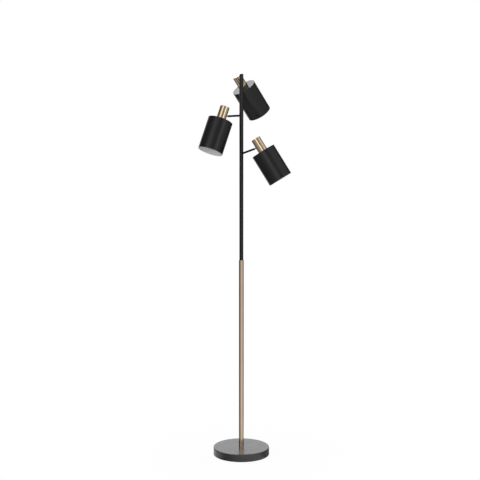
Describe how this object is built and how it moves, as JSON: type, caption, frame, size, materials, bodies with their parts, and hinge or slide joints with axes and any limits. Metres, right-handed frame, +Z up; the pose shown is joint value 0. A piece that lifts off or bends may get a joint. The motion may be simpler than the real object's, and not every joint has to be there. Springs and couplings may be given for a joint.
{
  "type": "floor lamp",
  "caption": "Floor lamp with black cylindrical spot heads on short tilting arms, a black and brass coloured pole, and a round weighted foot.",
  "frame": {"origin": "centre of the foot's underside, on the floor, below the pole's axis", "axes": "+Z up along the pole, -Y the side the picture is taken from, +X to its right"},
  "size_m": [0.3626, 0.3142, 1.5404],
  "materials": {
    "foot_paint": "satin black powder coat",
    "pole_paint": "satin black powder coat",
    "shade_paint": "satin black outside, matt white inside",
    "brass_finish": "satin champagne brass, lacquered",
    "cup_brass": "polished brass, lacquered",
    "neck_brass": "turned brass",
    "shell_brass": "plain brass",
    "weight_iron": "raw casting",
    "pad_rubber": "foam rubber",
    "bright_steel": "zinc plated",
    "screw_steel": "blackened steel",
    "cast_alloy": "die cast",
    "cap_alloy": "nickel look",
    "black_plastic": "moulded",
    "white_plastic": "moulded",
    "cable_sheath": "smooth sheath",
    "opal_glass": "opal white"
  },
  "bodies": {
    "stand": {"base_cover": "foot_paint", "base_weight": "weight_iron", "base_pad": "pad_rubber", "base_spacer": "bright_steel", "threaded_nipple": "bright_steel", "foot_washer": "bright_steel", "foot_nut": "bright_steel", "pole_foot": "bright_steel", "cord_grommet": "black_plastic", "terminal_block": "white_plastic", "pole_cable": "cable_sheath", "lower_pole": "brass_finish", "pole_coupler": "bright_steel", "upper_pole": "pole_paint", "pole_cap": "pole_paint", "pivot_screws": "screw_steel"},
    "left_boom": {"left_arm": "pole_paint"},
    "left_neck": {"left_swivel_stud": "neck_brass"},
    "left_head": {"left_knuckle": "cast_alloy", "left_knuckle_pin": "bright_steel", "left_cup": "cup_brass", "left_holder_nipple": "bright_steel", "left_lampholder": "black_plastic", "left_screw_shell": "shell_brass", "left_shade": "shade_paint", "left_shade_ring": "white_plastic", "left_bulb_cap": "cap_alloy", "left_bulb_globe": "opal_glass"},
    "right_boom": {"right_arm": "pole_paint"},
    "right_neck": {"right_swivel_stud": "neck_brass"},
    "right_head": {"right_knuckle": "cast_alloy", "right_knuckle_pin": "bright_steel", "right_cup": "cup_brass", "right_holder_nipple": "bright_steel", "right_lampholder": "black_plastic", "right_screw_shell": "shell_brass", "right_shade": "shade_paint", "right_shade_ring": "white_plastic", "right_bulb_cap": "cap_alloy", "right_bulb_globe": "opal_glass"},
    "back_boom": {"back_arm": "pole_paint"},
    "back_neck": {"back_swivel_stud": "neck_brass"},
    "back_head": {"back_knuckle": "cast_alloy", "back_knuckle_pin": "bright_steel", "back_cup": "cup_brass", "back_holder_nipple": "bright_steel", "back_lampholder": "black_plastic", "back_screw_shell": "shell_brass", "back_shade": "shade_paint", "back_shade_ring": "white_plastic", "back_bulb_cap": "cap_alloy", "back_bulb_globe": "opal_glass"}
  },
  "joints": [
    {"name": "left_arm_tilt", "type": "hinge", "parent": "stand", "child": "left_boom", "pos_m": [0, 0, 1.3697], "axis": [-0.5, 0.866, 0], "range_deg": [-2.2, 32.8]},
    {"name": "left_head_swivel", "type": "hinge", "parent": "left_boom", "child": "left_neck", "pos_m": [-0.05233, -0.03021, 1.36674], "axis": [-0.865, -0.4994, -0.0488], "range_deg": [-124.3, 115.7]},
    {"name": "left_head_tilt", "type": "hinge", "parent": "left_neck", "child": "left_head", "pos_m": [-0.06531, -0.0377, 1.36601], "axis": [-0.4954, 0.8654, -0.0749], "range_deg": [-30.6, 14.4]},
    {"name": "right_arm_tilt", "type": "hinge", "parent": "stand", "child": "right_boom", "pos_m": [0, 0, 1.2194], "axis": [-0.4226, -0.9063, 0], "range_deg": [-24.1, 10.9]},
    {"name": "right_head_swivel", "type": "hinge", "parent": "right_boom", "child": "right_neck", "pos_m": [0.05181, -0.02416, 1.2392], "axis": [0.8564, -0.3994, 0.3272], "range_deg": [-128.9, 111.1]},
    {"name": "right_head_tilt", "type": "hinge", "parent": "right_neck", "child": "right_head", "pos_m": [0.06466, -0.03015, 1.2441], "axis": [-0.3716, -0.9168, -0.1462], "range_deg": [-16.7, 28.3]},
    {"name": "back_arm_tilt", "type": "hinge", "parent": "stand", "child": "back_boom", "pos_m": [0, 0, 1.4984], "axis": [1, 0, 0], "range_deg": [-5, 30]},
    {"name": "back_head_swivel", "type": "hinge", "parent": "back_boom", "child": "back_neck", "pos_m": [0, 0.0605, 1.4984], "axis": [0, 1, 0], "range_deg": [-88, 152]},
    {"name": "back_head_tilt", "type": "hinge", "parent": "back_neck", "child": "back_head", "pos_m": [0, 0.0755, 1.4984], "axis": [0.848, 0, 0.5299], "range_deg": [-25.5, 19.5]}
  ]
}
